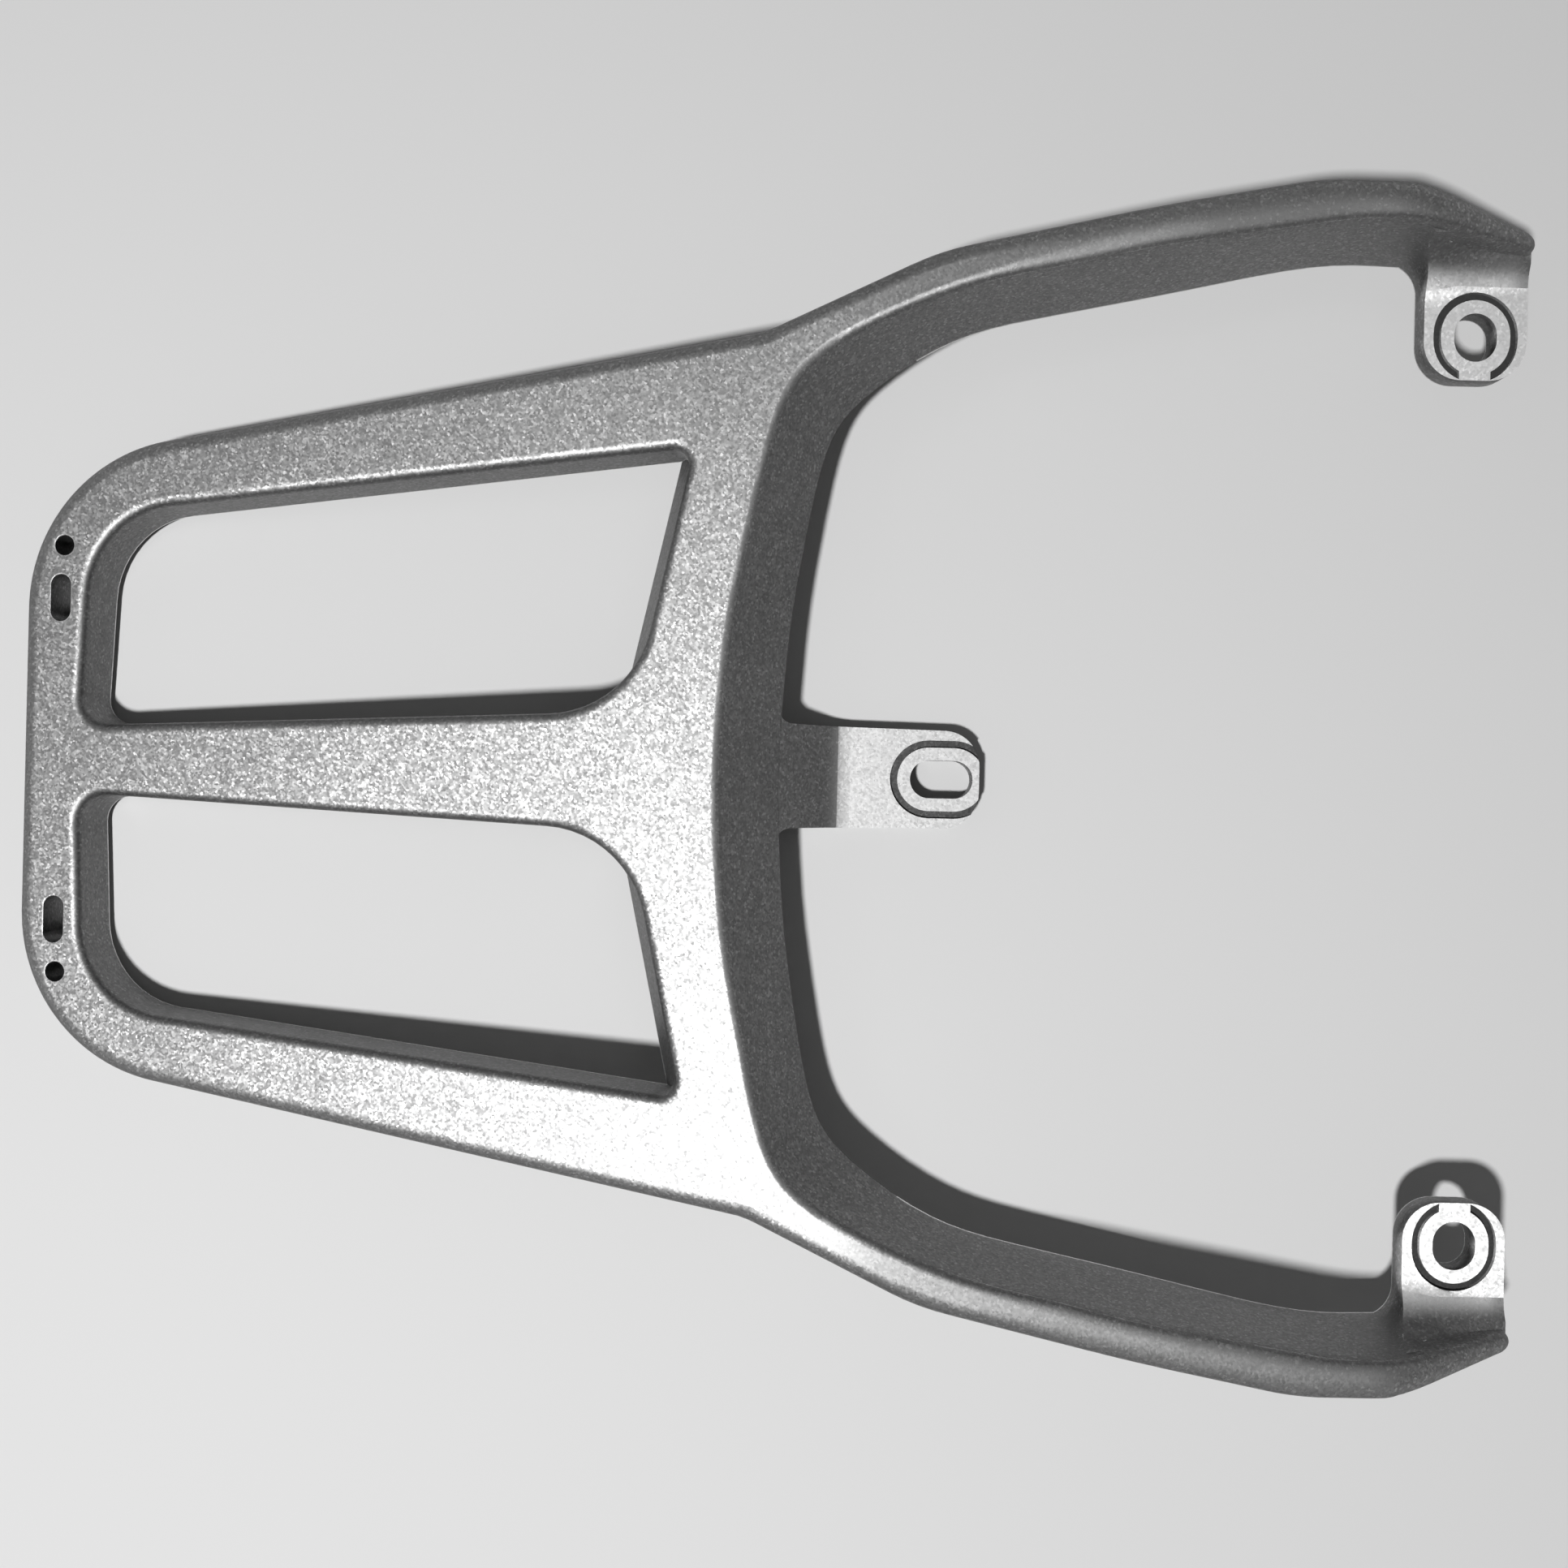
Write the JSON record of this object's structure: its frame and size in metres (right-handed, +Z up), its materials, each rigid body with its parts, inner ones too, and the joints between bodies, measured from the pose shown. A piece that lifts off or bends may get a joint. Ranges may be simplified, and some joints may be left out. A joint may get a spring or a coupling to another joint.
{
  "type": "motorcycle rear grab rail",
  "caption": "One-piece cast rear grab rail: a windowed rack plate whose crossbar sweeps into forward arms that end in slotted mounting tabs.",
  "frame": {"origin": "middle of the centre tab's slot, on that tab's seating face underneath", "axes": "+X forward along the vehicle, +Y to its left, +Z up"},
  "size_m": [0.364, 0.28, 0.0473],
  "materials": {
    "silver_paint": "silver-grey metallic paint on cast aluminium, satin with fine flake"
  },
  "bodies": {
    "root": {"grab_rail": "silver_paint"}
  },
  "joints": []
}
